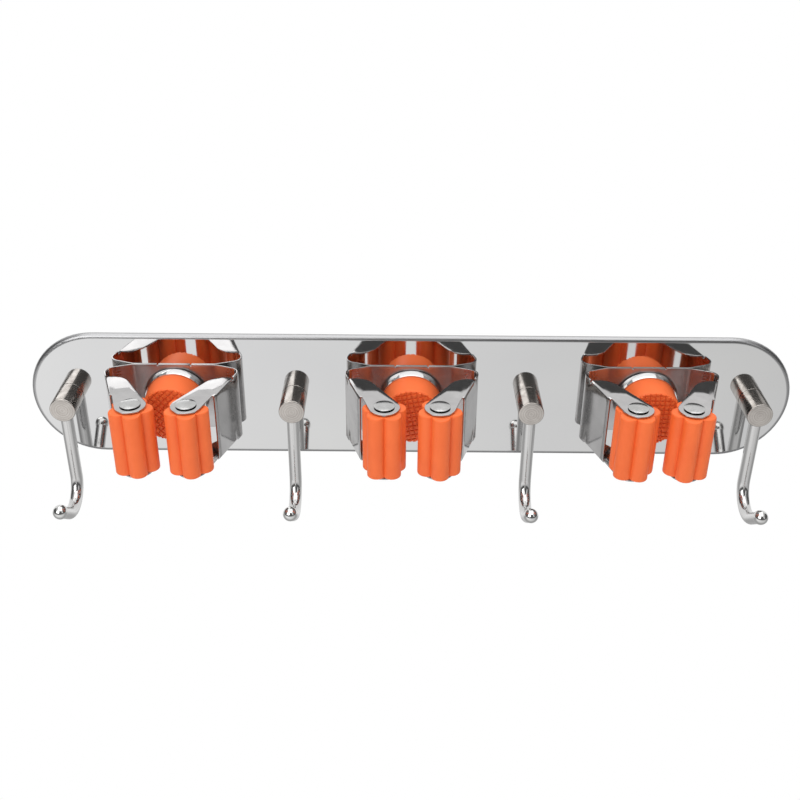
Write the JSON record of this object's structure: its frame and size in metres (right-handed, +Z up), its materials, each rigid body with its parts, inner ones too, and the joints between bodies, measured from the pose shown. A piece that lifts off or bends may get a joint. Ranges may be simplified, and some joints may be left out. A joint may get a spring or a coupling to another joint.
{
  "type": "wall mop holder rack",
  "caption": "Wall rack for mops and brooms: a polished steel plate with spring clips that grip handles between orange rubber rollers, and bent rod hooks with ball ends.",
  "frame": {"origin": "middle of the face that meets the wall", "axes": "+X along the rack to the right as seen from the room, +Y into the wall, +Z up"},
  "size_m": [0.43, 0.061, 0.1014],
  "materials": {
    "polished_steel": "mirror polished stainless steel",
    "spring_steel": "bright rolled spring steel strip",
    "turned_steel": "turned, with fine tool rings",
    "satin_steel": "satin drawn rod",
    "rivet_steel": "satin rivet heads",
    "plain_steel": "plain zinc grey",
    "orange_rubber": "matte moulded orange rubber",
    "foam": "dark closed-cell foam adhesive pad"
  },
  "bodies": {
    "rack": {"wall_plate": "polished_steel", "adhesive_pad": "foam", "post_screws": "plain_steel", "cup_rivets": "plain_steel", "hook_post_1": "turned_steel", "hook_post_2": "turned_steel", "hook_post_3": "turned_steel", "hook_post_4": "turned_steel", "hook_rod_1": "satin_steel", "hook_rod_2": "satin_steel", "hook_rod_3": "satin_steel", "hook_rod_4": "satin_steel", "hook_ball_1": "satin_steel", "hook_ball_2": "satin_steel", "hook_ball_3": "satin_steel", "hook_ball_4": "satin_steel", "clip_back_1": "spring_steel", "clip_back_2": "spring_steel", "clip_back_3": "spring_steel", "bumper_cup_1": "polished_steel", "bumper_cup_2": "polished_steel", "bumper_cup_3": "polished_steel", "bumper_1": "orange_rubber", "bumper_2": "orange_rubber", "bumper_3": "orange_rubber"},
    "arm_1_left": {"clip_arm_1_left": "spring_steel", "roller_axle_1_left": "rivet_steel"},
    "roller_1_left": {"roller_1_left": "orange_rubber"},
    "arm_1_right": {"clip_arm_1_right": "spring_steel", "roller_axle_1_right": "rivet_steel"},
    "roller_1_right": {"roller_1_right": "orange_rubber"},
    "arm_2_left": {"clip_arm_2_left": "spring_steel", "roller_axle_2_left": "rivet_steel"},
    "roller_2_left": {"roller_2_left": "orange_rubber"},
    "arm_2_right": {"clip_arm_2_right": "spring_steel", "roller_axle_2_right": "rivet_steel"},
    "roller_2_right": {"roller_2_right": "orange_rubber"},
    "arm_3_left": {"clip_arm_3_left": "spring_steel", "roller_axle_3_left": "rivet_steel"},
    "roller_3_left": {"roller_3_left": "orange_rubber"},
    "arm_3_right": {"clip_arm_3_right": "spring_steel", "roller_axle_3_right": "rivet_steel"},
    "roller_3_right": {"roller_3_right": "orange_rubber"}
  },
  "joints": [
    {"name": "clip_1_left_flex", "type": "hinge", "parent": "rack", "child": "arm_1_left", "pos_m": [-0.16587, -0.0066, 0], "axis": [0, 0, -1], "range_deg": [-3, 20], "stiffness_Nm_per_rad": 2},
    {"name": "roller_1_left_spin", "type": "hinge", "parent": "arm_1_left", "child": "roller_1_left", "pos_m": [-0.1473, -0.049, 0], "axis": [0, 0, 1], "continuous": true},
    {"name": "clip_1_right_flex", "type": "hinge", "parent": "rack", "child": "arm_1_right", "pos_m": [-0.09953, -0.0066, 0], "axis": [0, 0, 1], "range_deg": [-3, 20], "stiffness_Nm_per_rad": 2},
    {"name": "roller_1_right_spin", "type": "hinge", "parent": "arm_1_right", "child": "roller_1_right", "pos_m": [-0.1181, -0.049, 0], "axis": [0, 0, 1], "continuous": true},
    {"name": "clip_2_left_flex", "type": "hinge", "parent": "rack", "child": "arm_2_left", "pos_m": [-0.03317, -0.0066, 0], "axis": [0, 0, -1], "range_deg": [-3, 20], "stiffness_Nm_per_rad": 2},
    {"name": "roller_2_left_spin", "type": "hinge", "parent": "arm_2_left", "child": "roller_2_left", "pos_m": [-0.0146, -0.049, 0], "axis": [0, 0, 1], "continuous": true},
    {"name": "clip_2_right_flex", "type": "hinge", "parent": "rack", "child": "arm_2_right", "pos_m": [0.03317, -0.0066, 0], "axis": [0, 0, 1], "range_deg": [-3, 20], "stiffness_Nm_per_rad": 2},
    {"name": "roller_2_right_spin", "type": "hinge", "parent": "arm_2_right", "child": "roller_2_right", "pos_m": [0.0146, -0.049, 0], "axis": [0, 0, 1], "continuous": true},
    {"name": "clip_3_left_flex", "type": "hinge", "parent": "rack", "child": "arm_3_left", "pos_m": [0.09953, -0.0066, 0], "axis": [0, 0, -1], "range_deg": [-3, 20], "stiffness_Nm_per_rad": 2},
    {"name": "roller_3_left_spin", "type": "hinge", "parent": "arm_3_left", "child": "roller_3_left", "pos_m": [0.1181, -0.049, 0], "axis": [0, 0, 1], "continuous": true},
    {"name": "clip_3_right_flex", "type": "hinge", "parent": "rack", "child": "arm_3_right", "pos_m": [0.16587, -0.0066, 0], "axis": [0, 0, 1], "range_deg": [-3, 20], "stiffness_Nm_per_rad": 2},
    {"name": "roller_3_right_spin", "type": "hinge", "parent": "arm_3_right", "child": "roller_3_right", "pos_m": [0.1473, -0.049, 0], "axis": [0, 0, 1], "continuous": true}
  ]
}
